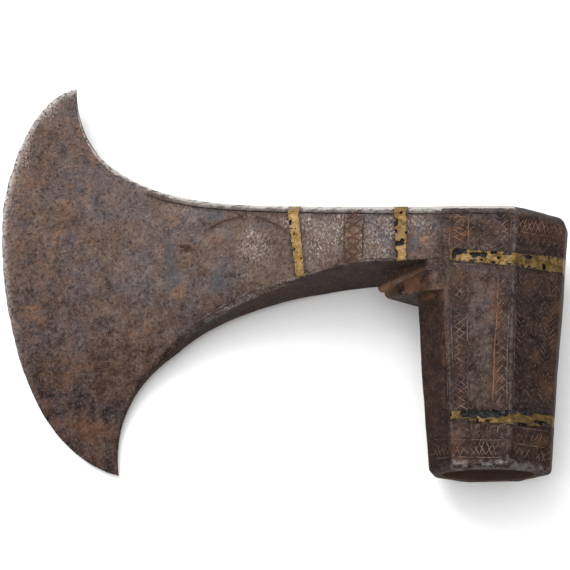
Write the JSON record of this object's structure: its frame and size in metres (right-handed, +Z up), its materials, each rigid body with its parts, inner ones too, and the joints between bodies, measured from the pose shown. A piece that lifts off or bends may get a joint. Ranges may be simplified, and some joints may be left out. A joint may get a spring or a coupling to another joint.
{
  "type": "axe head",
  "caption": "Battle-axe head of forged iron: a broad crescent blade on a long neck, an eight-sided haft socket, a pointed bracket and inlaid brass bands.",
  "frame": {"origin": "under the middle of the head's box, on the surface that it lies on", "axes": "+X from the cutting edge towards the poll, +Y from the socket's mouth towards its top, +Z up out of the face that shows; the head leans about 6 degrees towards its cutting edge and 5 degrees towards its mouth, as it lies"},
  "size_m": [0.1954, 0.1408, 0.0423],
  "materials": {
    "iron": "dark brown patina with rust, worn bright on the edges",
    "brass": "worn and tarnished inlay"
  },
  "bodies": {
    "root": {"axe_head": "iron", "fore_neck_band": "brass", "rear_neck_band": "brass", "upper_socket_band": "brass", "lower_socket_band": "brass"}
  },
  "joints": []
}
